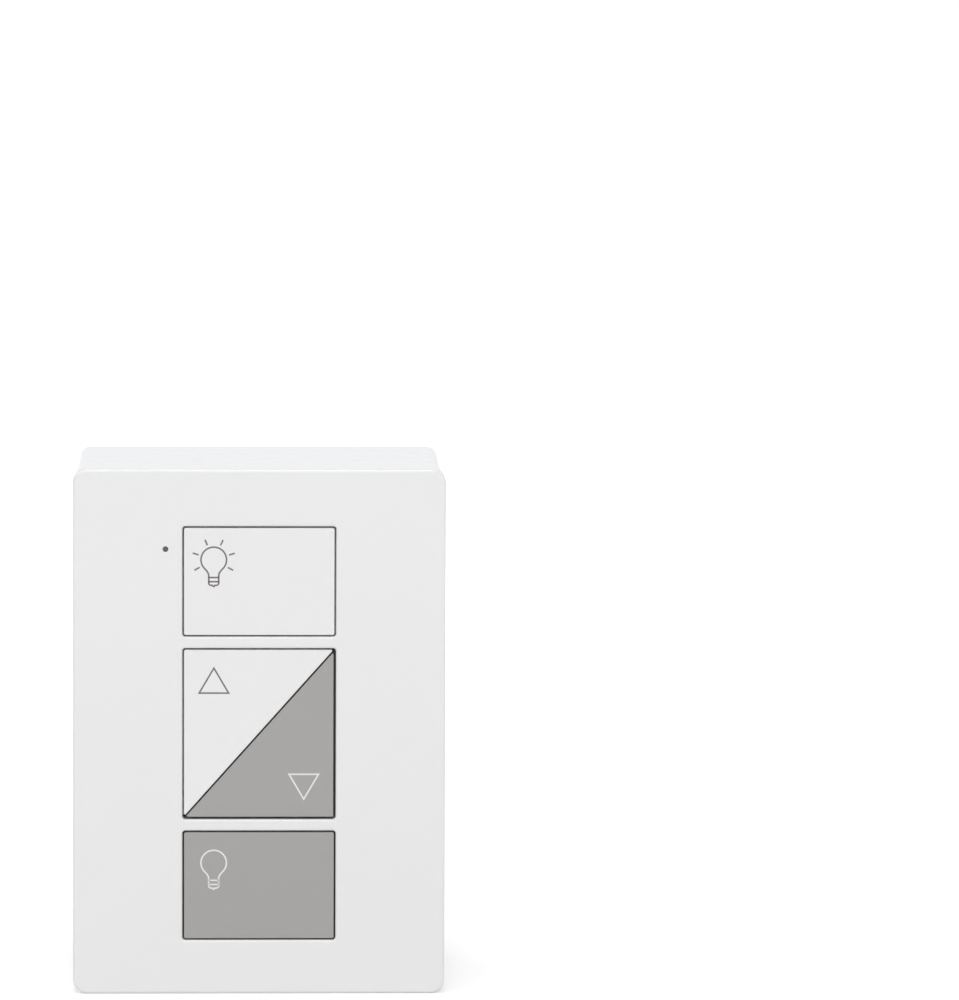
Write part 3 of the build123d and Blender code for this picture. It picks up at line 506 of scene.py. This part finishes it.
@dataclass(frozen=True)
class CircuitBoard(Finish):
    """Solder resist over copper tracks."""

    track: Colour = (0.05, 0.3, 0.12)
    track_scale: float = 320.0
    track_unevenness: float = 0.6
    track_half: float = 0.05
    track_edge: float = 0.09
    roughness: float = 0.3
    spread: float = 0.12
    grain_scale: float = 3000.0
    bump: float = 0.4
    depth: float = 0.00003

    def build(self, shop: Workshop) -> bpy.types.Material:
        """Build the board: tracks are the borders of uneven cells, a shade lighter and a little raised.

        Args:
            shop: The shared groups.

        Returns:
            The material.
        """
        material, nodes, shader = blank_material(self.name)
        place = nodes.add("ShaderNodeTexCoord").outputs["Object"]
        cells = nodes.add(
            "ShaderNodeTexVoronoi",
            {"Vector": place, "Scale": self.track_scale, "Randomness": self.track_unevenness},
            feature="DISTANCE_TO_EDGE",
        ).outputs["Distance"]
        tracks = nodes.spread(cells, self.track_half, self.track_edge, to_low=1.0, to_high=0.0)
        nodes.feed(shader.inputs["Base Color"], nodes.blend(tracks, (*self.colour, 1.0), (*self.track, 1.0)))
        grain = nodes.noise(place, self.grain_scale)
        most = self.roughness + self.spread
        rough = nodes.spread(grain, low=0.3, high=0.7, to_low=self.roughness, to_high=most)
        nodes.feed(shader.inputs["Roughness"], rough)
        nodes.bump(shader, tracks, self.bump, self.depth)
        return material


# Finishes of this dimmer

CASE_WHITE = Plastic("case white", srgb(236, 236, 236), roughness=0.16, spread=0.05, grain=0.25, flow=0.5,
                     bump=0.04, depth=0.00003, drift=0.004)
CAP_WHITE = Plastic("cap white", srgb(237, 237, 237), roughness=0.3, spread=0.05, grain=0.6, drift=0.004,
                    wear=Wear.HANDLED)
# The grey caps get painted shade on their flanks deep in the gaps
CAP_GREY = Plastic("cap grey", srgb(165, 163, 161), roughness=0.32, spread=0.05, grain=0.8, drift=0.012,
                   painted_recess_shade=0.2, wear=Wear.HANDLED)
INK_GREY = Plastic("grey printing ink", srgb(118, 110, 111), roughness=0.45, spread=0.1, drift=0.03)
INK_WHITE = Plastic("white printing ink", srgb(232, 230, 228), roughness=0.45, spread=0.1, drift=0.01)
SMOKED = Plastic("smoked light pipe", srgb(54, 50, 50), roughness=0.12, spread=0.04, coat=0.5)
INNER_BLACK = Plastic("inner black plastic", srgb(38, 38, 40), roughness=0.5, grain=1.5, bump=0.2)
INNER_WHITE = Plastic("inner white plastic", srgb(221, 219, 212), roughness=0.45, grain=1.2, bump=0.15)
COMPONENT_BLACK = Plastic("component black", srgb(30, 30, 32), roughness=0.4, grain=1.5, bump=0.25)
PLUNGER_BROWN = Plastic("plunger brown", srgb(96, 62, 44), roughness=0.4)
LED_CLEAR = Plastic("led epoxy", srgb(228, 226, 210), roughness=0.15, coat=0.6)
FILM_YELLOW = Plastic("film capacitor yellow", srgb(226, 182, 60), roughness=0.3)
VARISTOR_BLUE = Plastic("varistor dip", srgb(36, 84, 168), roughness=0.25, flow=2.0, bump=0.3)
BARRIER = Plastic("fibre sheet", srgb(160, 148, 120), roughness=0.7, grain=3.0, bump=0.5, drift=0.05)
LEAD_WHITE = Plastic("white wire jacket", srgb(218, 218, 216), roughness=0.4)
LEAD_BLACK = Plastic("black wire jacket", srgb(34, 34, 34), roughness=0.4)
FERRITE = Plastic("sintered ferrite", srgb(60, 60, 62), roughness=0.75, grain=4.0, bump=0.6)
BLADE = Metal("plated blade", srgb(214, 208, 196), tarnished=srgb(176, 162, 132), roughness=0.2, spread=0.22)
CONTACT = Metal("contact brass", srgb(206, 166, 92), tarnished=srgb(140, 104, 56), roughness=0.25)
STEEL = Metal("zinc plated steel", srgb(178, 180, 182), tarnished=srgb(134, 134, 130), roughness=0.3)
TIN = Metal("tin plate", srgb(196, 198, 200), tarnished=srgb(150, 152, 150), roughness=0.22)
GOLD = Metal("gold flash", srgb(222, 184, 110), tarnished=srgb(190, 150, 84), roughness=0.2)
ALUMINIUM = Metal("rolled aluminium", srgb(196, 198, 200), tarnished=srgb(160, 160, 160), roughness=0.35)
COPPER = Metal("enamelled copper", srgb(186, 106, 60), tarnished=srgb(130, 66, 36), roughness=0.25)
BOARD = CircuitBoard("green board", srgb(20, 86, 52))


# Camera, lamps and floor


@dataclass(frozen=True)
class Lamp:
    """A soft lamp: its place and its width and height are in metres, and its power is in watts."""

    name: str
    place: tuple[float, float, float]
    size: tuple[float, float]
    power: float

    def hang(self, aim: Sequence[float]) -> None:
        """Hang the lamp.

        Args:
            aim: The point that it faces, in metres.
        """
        data = bpy.data.lights.new(self.name, "AREA")
        data.shape = "RECTANGLE"
        data.size, data.size_y = self.size
        data.energy = self.power
        lamp = bpy.data.objects.new(self.name, data)
        bpy.context.scene.collection.objects.link(lamp)
        direction = Vector(aim) - Vector(self.place)
        lamp.location = self.place
        lamp.rotation_euler = direction.to_track_quat("-Z", "Y").to_euler()


@dataclass(frozen=True)
class Studio:
    """The camera, the soft lamps, the world and the floor.

    The camera's place is in millimetres and its turns are in radians; the other lengths are in metres.
    """

    camera_place: tuple[float, float, float] = (-3.49, -1031.2, 126.36)
    yaw: float = 0.0340
    pitch: float = 0.1182
    roll: float = 0.0049
    focal_pixels: float = 7263.6
    photo_height: int = 1000
    sensor: float = 36.0
    clip_near: float = 0.01
    clip_far: float = 50.0
    lamps: tuple[Lamp, ...] = (
        Lamp("key lamp", (-0.7, -0.6, 0.75), (1.0, 1.0), 1.34),
        Lamp("top lamp", (0.0, -0.15, 1.0), (0.4, 0.4), 2.23),
        Lamp("front lamp", (0.0, -0.7, 0.76), (0.16, 0.8), 1.0),
        Lamp("fill lamp", (0.3, -0.95, 0.25), (1.6, 0.6), 2.28),
        Lamp("back lamp", (-0.8, 0.9, 0.36), (0.75, 0.75), 2.1),
    )
    lamps_aim: tuple[float, float, float] = (0.0, -0.016, -0.025)
    world_strength: float = 0.53
    mirrored_sky: Colour = (0.965, 0.98, 1.0)
    floor_half: float = 1.6
    floor_grey: float = 0.88
    floor_roughness: float = 0.9
    floor_specular: float = 0.1
    floor_lift: float = 0.3
    floor_near: float = 0.1
    floor_far: float = 0.45

    def build_camera(self) -> None:
        """Place the camera: it looks along +Y, turned by the yaw, tipped down by the pitch, then rolled."""
        forward = np.array([
            math.sin(self.yaw) * math.cos(self.pitch),
            math.cos(self.yaw) * math.cos(self.pitch),
            -math.sin(self.pitch),
        ])
        right = np.array([math.cos(self.yaw), -math.sin(self.yaw), 0.0])
        up = np.cross(right, forward)
        turned_right = right * math.cos(self.roll) + up * math.sin(self.roll)
        turned_up = up * math.cos(self.roll) - right * math.sin(self.roll)
        data = bpy.data.cameras.new("camera")
        data.sensor_width = self.sensor
        data.lens = self.focal_pixels * self.sensor / self.photo_height
        data.clip_start = self.clip_near
        data.clip_end = self.clip_far
        camera = bpy.data.objects.new("camera", data)
        bpy.context.scene.collection.objects.link(camera)
        turn = Matrix([turned_right, turned_up, -forward]).transposed().to_4x4()
        camera.matrix_world = Matrix.Translation(Vector(self.camera_place) * MM) @ turn
        bpy.context.scene.camera = camera

    def build_world(self) -> None:
        """Light the world evenly, and show it white to the camera and a touch cooler in reflections."""
        world = bpy.data.worlds.new("studio")
        bpy.context.scene.world = world
        world.use_nodes = True
        world.node_tree.nodes.clear()
        nodes = Nodes(world.node_tree)
        seen, mirrored = nodes.background_rays()
        strength = nodes.spread(seen, 0.0, 1.0, to_low=self.world_strength, to_high=1.0)
        colour = nodes.blend(mirrored, (1.0, 1.0, 1.0, 1.0), (*self.mirrored_sky, 1.0))
        light = nodes.add("ShaderNodeBackground", {"Color": colour, "Strength": strength})
        output = nodes.add("ShaderNodeOutputWorld")
        nodes.feed(output.inputs["Surface"], light.outputs["Background"])

    def build_floor(self, height: float) -> None:
        """Lay the pale floor under the object, which fades into the white background away from it.

        Args:
            height: Its height, in metres.
        """
        half = self.floor_half
        mesh = bpy.data.meshes.new("floor")
        corners = [(x, y, height) for x, y in ((-half, -half), (half, -half), (half, half), (-half, half))]
        mesh.from_pydata(corners, [], [(0, 1, 2, 3)])
        floor = bpy.data.objects.new("floor", mesh)
        bpy.context.scene.collection.objects.link(floor)
        material, nodes, shader = blank_material("pale floor")
        grey = self.floor_grey
        shader.inputs["Base Color"].default_value = (grey, grey, grey, 1.0)
        shader.inputs["Roughness"].default_value = self.floor_roughness
        shader.inputs["Specular IOR Level"].default_value = self.floor_specular
        seen = nodes.background_rays()[0]
        place = nodes.add("ShaderNodeTexCoord").outputs["Object"]
        away = nodes.add("ShaderNodeVectorMath", {0: place}, operation="LENGTH").outputs["Value"]
        lift = nodes.spread(away, self.floor_near, self.floor_far, to_low=self.floor_lift, to_high=1.0)
        shader.inputs["Emission Color"].default_value = (1.0, 1.0, 1.0, 1.0)
        nodes.feed(shader.inputs["Emission Strength"], nodes.maths("MULTIPLY", seen, lift))
        mesh.materials.append(material)
        floor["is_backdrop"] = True

    def build(self, floor_height: float) -> None:
        """Build the camera, lamps, world and floor.

        Args:
            floor_height: The floor's height, in metres.
        """
        self.build_camera()
        for lamp in self.lamps:
            lamp.hang(self.lamps_aim)
        self.build_world()
        self.build_floor(floor_height)
        bpy.context.scene.view_settings.view_transform = "Standard"


# Mesh helpers


def new_piece(name: str, points: np.ndarray, faces: np.ndarray) -> bpy.types.Object:
    """Make an object from arrays, in place, with its own origin at the frame's origin.

    Args:
        name: The piece's name.
        points: Its points in metres, one row each.
        faces: Its four-sided faces, one row of point numbers each.

    Returns:
        The object.
    """
    mesh = bpy.data.meshes.new(name)
    mesh.from_pydata(points.tolist(), [], faces.tolist())
    mesh.update()
    piece = bpy.data.objects.new(name, mesh)
    bpy.context.scene.collection.objects.link(piece)
    return piece


def arc(centre: tuple[float, float], radius: float, start: float, end: float, count: int) -> np.ndarray:
    """Points along an arc in the face's plane.

    Each point is the centre plus the radius times the cosine and sine of an angle that runs evenly from
    start to end.

    Args:
        centre: X and Z of the centre.
        radius: The radius.
        start: The first angle, in degrees, counted from +X towards +Z.
        end: The last angle, in degrees.
        count: The number of points.

    Returns:
        The points, one row each.
    """
    angles = np.radians(np.linspace(start, end, count))
    return np.column_stack([centre[0] + radius * np.cos(angles), centre[1] + radius * np.sin(angles)])


def ribbon(
    path: np.ndarray, width: float, low_y: float, high_y: float, closed: bool
) -> tuple[np.ndarray, np.ndarray]:
    """Carry a flat bar's four corners along a path in the face's plane.

    At each point the two sides stand half the width off the path along the mitre direction, which is the
    sum of the normals of the two runs that meet there, divided by one plus their dot product.

    Args:
        path: X and Z of the path's points, in millimetres.
        width: The line's width, in millimetres.
        low_y: The depth of its printed face, in millimetres.
        high_y: The depth of its underside, in millimetres.
        closed: Whether the last point runs on to the first.

    Returns:
        The points in metres and the four-sided faces.
    """
    if closed:
        runs = np.roll(path, -1, axis=0) - path
    else:
        runs = np.diff(path, axis=0)
    normals = np.column_stack([-runs[:, 1], runs[:, 0]])
    normals /= np.linalg.norm(normals, axis=1, keepdims=True)
    if closed:
        before = np.roll(normals, 1, axis=0)
        after = normals
    else:
        before = np.vstack([normals[:1], normals])
        after = np.vstack([normals, normals[-1:]])
    share = 1 + np.sum(before * after, axis=1, keepdims=True)
    mitre = (before + after) / share
    left = path + mitre * width / 2
    right = path - mitre * width / 2
    count = len(path)
    rings = np.empty((count, 4, 3))
    for corner, (side, depth) in enumerate(((left, low_y), (right, low_y), (right, high_y), (left, high_y))):
        rings[:, corner] = np.column_stack([side[:, 0], np.full(count, depth), side[:, 1]])
    points = rings.reshape(-1, 3) * MM
    last = count if closed else count - 1
    here = np.arange(last)[:, None] * 4
    there = ((np.arange(last) + 1) % count)[:, None] * 4
    corner = np.arange(4)[None, :]
    turned = (corner + 1) % 4
    faces = np.stack([here + corner, here + turned, there + turned, there + corner], axis=-1).reshape(-1, 4)
    if not closed:
        caps = np.array([[3, 2, 1, 0], [4 * last, 4 * last + 1, 4 * last + 2, 4 * last + 3]])
        faces = np.vstack([faces, caps])
    return points, faces


def joined(parts: Sequence[tuple[np.ndarray, np.ndarray]]) -> tuple[np.ndarray, np.ndarray]:
    """Put several sets of points and faces into one.

    Args:
        parts: The points and faces of each set.

    Returns:
        All the points, and all the faces, counted on.
    """
    starts = np.cumsum([0] + [len(points) for points, faces in parts[:-1]])
    points = np.vstack([points for points, faces in parts])
    faces = np.vstack([faces + start for start, (_, faces) in zip(starts, parts)])
    return points, faces


# Pictograms printed on the buttons


class Mark(Enum):
    """The pictograms on the four buttons."""

    BULB_LIT = "bulb with rays"
    ARROW_UP = "arrow up"
    ARROW_DOWN = "arrow down"
    BULB_DARK = "bulb without rays"


@dataclass(frozen=True)
class Pictogram:
    """One printed pictogram on a button, in millimetres."""

    button: str
    body: str
    mark: Mark
    ink: Finish
    slot: str
    centre_x: float
    below_well_top: float
    line: float = 0.22
    thickness: float = 0.012
    bulb_radius: float = 1.77
    glass_end: float = 42.2
    neck_half: float = 0.695
    neck_drop: float = 2.2
    cross_drops: tuple[float, float] = (2.475, 3.06)
    base_drop: float = 3.57
    base_corner: float = 0.35
    tip_radius: float = 0.15
    ray_inner: float = 2.21
    ray_outer: float = 3.06
    ray_angles: tuple[float, ...] = (-28.5, 17.5, 65.0, 113.5, 162.0, 208.5)
    arrow_half: float = 2.05
    arrow_height: float = 3.5

    def neck(self, x: float, z: float, side: int, leave: np.ndarray) -> np.ndarray:
        """Bend from where the glass ends down into the upright neck, as a quadratic curve.

        Args:
            x: The glass centre's X.
            z: The glass centre's Z.
            side: 1 for the right neck, -1 for the left.
            leave: The point where the glass ends.

        Returns:
            The points after the glass's end, down to the neck's foot.
        """
        step = np.linspace(0, 1, 9)[1:, None]
        bend = np.array([x + side * self.neck_half, z - self.bulb_radius])
        foot = np.array([x + side * self.neck_half, z - self.neck_drop])
        return (1 - step) ** 2 * leave + 2 * step * (1 - step) * bend + step**2 * foot

    def bulb(self, x: float, z: float) -> tuple[np.ndarray, list[np.ndarray]]:
        """The bulb's outline as one closed path, and the cross lines of its base.

        The outline runs anticlockwise: the base's right corner, the right neck, the glass as an arc that
        leaves out the bottom, the left neck, the base's left corner and the tip, a half circle below.

        Args:
            x: The glass centre's X.
            z: The glass centre's Z.

        Returns:
            The outline and the cross lines.
        """
        half = self.neck_half
        corner = self.base_corner
        base_z = z - self.base_drop
        glass = arc((x, z), self.bulb_radius, -self.glass_end, 180 + self.glass_end, 49)
        outline = np.vstack([
            arc((x + half - corner, base_z + corner), corner, -90, 0, 7),
            self.neck(x, z, 1, glass[0])[::-1],
            glass,
            self.neck(x, z, -1, glass[-1]),
            arc((x - half + corner, base_z + corner), corner, 180, 270, 7),
            arc((x, base_z), self.tip_radius, 180, 360, 9),
        ])
        lines = [np.array([[x - half, z - drop], [x + half, z - drop]]) for drop in self.cross_drops]
        return outline, lines

    def rays(self, x: float, z: float) -> list[np.ndarray]:
        """Short rays round the glass, as straight paths between two radii.

        Args:
            x: The glass centre's X.
            z: The glass centre's Z.

        Returns:
            One path for each ray.
        """
        angles = np.radians(self.ray_angles)
        ways = np.column_stack([np.cos(angles), np.sin(angles)])
        return [np.array([x, z]) + np.outer([self.ray_inner, self.ray_outer], way) for way in ways]

    def arrow(self, x: float, z: float, up: bool) -> np.ndarray:
        """A triangle as a closed path that runs anticlockwise.

        Args:
            x: Its middle's X.
            z: The Z of its middle height.
            up: Whether it points up.

        Returns:
            Its three corners.
        """
        rise = self.arrow_height / 2 * (1 if up else -1)
        corners = np.array([[x - self.arrow_half, z - rise], [x + self.arrow_half, z - rise], [x, z + rise]])
        return corners if up else corners[::-1]

    def build(self, shop: Workshop, well_top: float) -> bpy.types.Object:
        """Print the pictogram on its button, proud by its thickness and sunk by half of it.

        Args:
            shop: The shared groups.
            well_top: The height of the button's well top, in millimetres.

        Returns:
            The piece.
        """
        face_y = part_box(self.button)[0].y / MM
        x = self.centre_x
        z = well_top - self.below_well_top
        if self.mark in (Mark.ARROW_UP, Mark.ARROW_DOWN):
            shapes = [(self.arrow(x, z, self.mark is Mark.ARROW_UP), True)]
        else:
            outline, lines = self.bulb(x, z)
            shapes = [(outline, True)] + [(path, False) for path in lines]
            if self.mark is Mark.BULB_LIT:
                shapes += [(path, False) for path in self.rays(x, z)]
        parts = [
            ribbon(path, self.line, face_y - self.thickness, face_y + self.thickness / 2, closed)
            for path, closed in shapes
        ]
        points, faces = joined(parts)
        piece = new_piece(f"{self.button}_pictogram", points, faces)
        piece.data.materials.append(shop.finish(self.ink))
        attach(piece, self.body)
        return piece


# Sub-assemblies


@dataclass(frozen=True)
class SubAssembly:
    """Pieces that belong together, with the finish of each."""

    finishes: Mapping[str, Finish]

    def dress(self, frame: Mapping, shop: Workshop) -> None:
        """Give each piece its material.

        Args:
            frame: What the frame's load gave.
            shop: The shared groups.
        """
        for name, finish in self.finishes.items():
            node = frame["nodes"][name]
            node.data.materials.clear()
            node.data.materials.append(shop.finish(finish))
            LOG.info("dressed %s in %s", name, finish.name)


@dataclass(frozen=True)
class Case(SubAssembly):
    """The front plate, the rear housing and the screws that join them."""

    finishes: Mapping[str, Finish] = field(default_factory=lambda: {
        "front_plate": CASE_WHITE,
        "rear_housing": CASE_WHITE,
        "case_screws": STEEL,
        "insulation_barrier": BARRIER,
    })


@dataclass(frozen=True)
class Buttons(SubAssembly):
    """The four buttons with their pictograms, which are placed in millimetres from the wells' tops."""

    finishes: Mapping[str, Finish] = field(default_factory=lambda: {
        "on_button": CAP_WHITE,
        "raise_button": CAP_WHITE,
        "lower_button": CAP_GREY,
        "off_button": CAP_GREY,
        "button_guide_frame": INNER_BLACK,
        "spacer_sleeves": INNER_BLACK,
    })
    flange_end: float = 0.5
    marks: tuple[Pictogram, ...] = (
        Pictogram("on_button", "on_key", Mark.BULB_LIT, INK_GREY, "button_grey", -6.31, 4.65),
        Pictogram("raise_button", "raise_key", Mark.ARROW_UP, INK_GREY, "button_grey", -6.28, 4.52),
        Pictogram("lower_button", "lower_key", Mark.ARROW_DOWN, INK_WHITE, "button_white", 6.22, 19.43),
        Pictogram("off_button", "off_key", Mark.BULB_DARK, INK_WHITE, "button_white", -6.3, 4.51),
    )

    def well_top(self, button: str) -> float:
        """The upper end of a button's well, which the flange behind its cap passes a little."""
        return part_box(button)[1].z / MM - self.flange_end

    def print_marks(self, shop: Workshop) -> None:
        """Print all four pictograms; both middle buttons share the upper one's well.

        Args:
            shop: The shared groups.
        """
        tops = {mark.button: self.well_top(mark.button) for mark in self.marks}
        tops["lower_button"] = tops["raise_button"]
        for mark in self.marks:
            LOG.info("printed %s", mark.build(shop, tops[mark.button]).name)


@dataclass(frozen=True)
class Switches(SubAssembly):
    """The switch behind each button: its body, steel cover, plunger and snap dome."""

    finishes: Mapping[str, Finish] = field(default_factory=lambda: {
        f"{button}_switch_{piece}": finish
        for button in ("on", "raise", "lower", "off")
        for piece, finish in (
            ("body", COMPONENT_BLACK), ("cover", TIN), ("plunger", PLUNGER_BROWN), ("dome", TIN),
        )
    })


@dataclass(frozen=True)
class ControlSide(SubAssembly):
    """The control board behind the buttons, with the radio, the chip, the status light and the header."""

    finishes: Mapping[str, Finish] = field(default_factory=lambda: {
        "control_board": BOARD,
        "control_board_screws": STEEL,
        "status_light_pipe": SMOKED,
        "status_led": LED_CLEAR,
        "radio_module": TIN,
        "radio_antenna": TIN,
        "controller_chip": COMPONENT_BLACK,
        "header_strip": COMPONENT_BLACK,
        "header_socket": COMPONENT_BLACK,
        "header_pins": GOLD,
    })


@dataclass(frozen=True)
class PowerSide(SubAssembly):
    """The power board with the dimming components and their heat sink plate."""

    finishes: Mapping[str, Finish] = field(default_factory=lambda: {
        "power_board": BOARD,
        "power_board_screws": STEEL,
        "triac": COMPONENT_BLACK,
        "heat_sink_plate": ALUMINIUM,
        "choke_core": FERRITE,
        "choke_winding": COPPER,
        "film_capacitor": FILM_YELLOW,
        "smoothing_capacitor": COMPONENT_BLACK,
        "fuse": COMPONENT_BLACK,
        "varistor": VARISTOR_BLUE,
    })


@dataclass(frozen=True)
class Connections(SubAssembly):
    """The plug's blades and their carrier, the two side sockets, the contact strips and the leads."""

    finishes: Mapping[str, Finish] = field(default_factory=lambda: {
        "neutral_blade": BLADE,
        "line_blade": BLADE,
        "blade_carrier": INNER_WHITE,
        "left_outlet_block": INNER_WHITE,
        "right_outlet_block": INNER_WHITE,
        "left_outlet_cover": INNER_WHITE,
        "right_outlet_cover": INNER_WHITE,
        "neutral_contact_strip": CONTACT,
        "switched_contact_strip": CONTACT,
        "neutral_lead": LEAD_WHITE,
        "switched_lead": LEAD_BLACK,
    })


def main() -> None:
    """Build the studio and dress every sub-assembly in order."""
    logging.basicConfig(level=logging.INFO, format="%(name)s: %(message)s")
    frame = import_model()
    cad_low, cad_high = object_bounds()
    Studio().build(cad_low.z)
    shop = Workshop(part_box("front_plate")[0].y)
    buttons = Buttons()
    for part in (Case(), buttons, Switches(), ControlSide(), PowerSide(), Connections()):
        part.dress(frame, shop)
    buttons.print_marks(shop)


if __name__ == "__main__":
    main()
